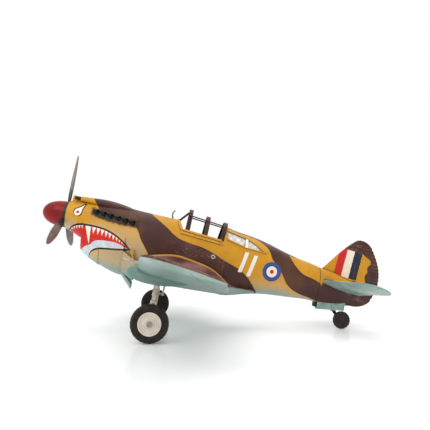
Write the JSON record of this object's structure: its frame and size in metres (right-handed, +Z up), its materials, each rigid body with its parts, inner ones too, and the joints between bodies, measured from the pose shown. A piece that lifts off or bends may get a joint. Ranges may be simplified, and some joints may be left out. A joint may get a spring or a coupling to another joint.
{
  "type": "propeller plane model",
  "caption": "Hand-made sheet-metal desk model of a low-wing propeller fighter with an open canopy frame, a turning three-blade propeller and rolling wheels.",
  "frame": {"origin": "on the ground under the middle of the model, halfway between spinner tip and rudder", "axes": "+Z up, nose towards -X, port wing towards -Y, standing on its three wheels"},
  "size_m": [0.4016, 0.474, 0.1979],
  "materials": {
    "fuselage_paint": "worn hand-painted sheet metal in sand yellow and chocolate brown over a pale blue-green underside",
    "wing_paint": "worn hand-painted sheet metal, camouflaged above and pale blue-green below",
    "tail_paint": "worn hand-painted sheet metal with three plain upright stripes",
    "trim_paint": "rubbed sand yellow paint on soldered strips",
    "canopy_paint": "rubbed dark brown paint on bent strip",
    "spinner_paint": "glossy red enamel",
    "blade_metal": "brushed taupe-grey paint",
    "soot_metal": "sooty black",
    "bright_metal": "dull silver",
    "plain_steel": "plain steel",
    "bush_brass": "plain brass",
    "interior_paint": "flat dark paint",
    "box_paint": "pale blue paint",
    "wire_mesh": "woven white wire",
    "tyre_rubber": "matt black rubber",
    "hub_paint": "cream enamel",
    "tail_hub_paint": "black enamel"
  },
  "bodies": {
    "airframe": {"canopy_rails": "canopy_paint", "carburettor_scoop": "fuselage_paint", "chin_band": "fuselage_paint", "chin_scoop": "fuselage_paint", "cockpit_coaming": "trim_paint", "cockpit_floor": "interior_paint", "cooling_flaps": "fuselage_paint", "elevators": "wing_paint", "exhaust_stacks": "soot_metal", "fin": "tail_paint", "flap_hinges": "trim_paint", "gear_braces": "bright_metal", "gear_legs": "bright_metal", "gear_pods": "wing_paint", "gun_barrels": "soot_metal", "gun_fairings": "fuselage_paint", "gunsight": "bright_metal", "instrument_panel": "interior_paint", "main_axles": "plain_steel", "middle_arch": "canopy_paint", "nose_bulkhead": "interior_paint", "nose_cowl": "fuselage_paint", "port_front_fuselage": "fuselage_paint", "port_rear_fuselage": "fuselage_paint", "port_wing_lower_skin": "wing_paint", "port_wing_upper_skin": "wing_paint", "radiator_core": "interior_paint", "rear_arch": "canopy_paint", "rudder": "tail_paint", "seat": "interior_paint", "shaft_bush": "bush_brass", "side_ring": "bright_metal", "starboard_front_fuselage": "fuselage_paint", "starboard_rear_fuselage": "fuselage_paint", "starboard_wing_lower_skin": "wing_paint", "starboard_wing_upper_skin": "wing_paint", "tail_axle": "plain_steel", "tail_box_stop": "soot_metal", "tail_cone": "fuselage_paint", "tail_fork": "plain_steel", "tail_wheel_box": "box_paint", "tailplanes": "wing_paint", "window_frames": "trim_paint", "window_lattices": "wire_mesh", "windscreen_arch": "canopy_paint", "windscreen_struts": "canopy_paint", "wing_fillets": "fuselage_paint", "wing_guns": "bright_metal", "wing_spar": "plain_steel"},
    "propeller": {"spinner": "spinner_paint", "propeller_backplate": "blade_metal", "propeller_shaft": "plain_steel", "propeller_blades": "blade_metal"},
    "port_wheel": {"port_tyre": "tyre_rubber", "port_wheel_hub": "hub_paint"},
    "starboard_wheel": {"starboard_tyre": "tyre_rubber", "starboard_wheel_hub": "hub_paint"},
    "tail_wheel": {"tail_tyre": "tyre_rubber", "tail_wheel_hub": "tail_hub_paint"}
  },
  "joints": [
    {"name": "propeller_spin", "type": "hinge", "parent": "airframe", "child": "propeller", "pos_m": [-0.1744, 0, 0.12907], "axis": [0.9886, 0, -0.1509], "continuous": true},
    {"name": "port_wheel_roll", "type": "hinge", "parent": "airframe", "child": "port_wheel", "pos_m": [-0.07227, -0.09, 0.0188], "axis": [0, 1, 0], "continuous": true},
    {"name": "starboard_wheel_roll", "type": "hinge", "parent": "airframe", "child": "starboard_wheel", "pos_m": [-0.07227, 0.09, 0.0188], "axis": [0, 1, 0], "continuous": true},
    {"name": "tail_wheel_roll", "type": "hinge", "parent": "airframe", "child": "tail_wheel", "pos_m": [0.15315, 0, 0.0104], "axis": [0, 1, 0], "continuous": true}
  ]
}
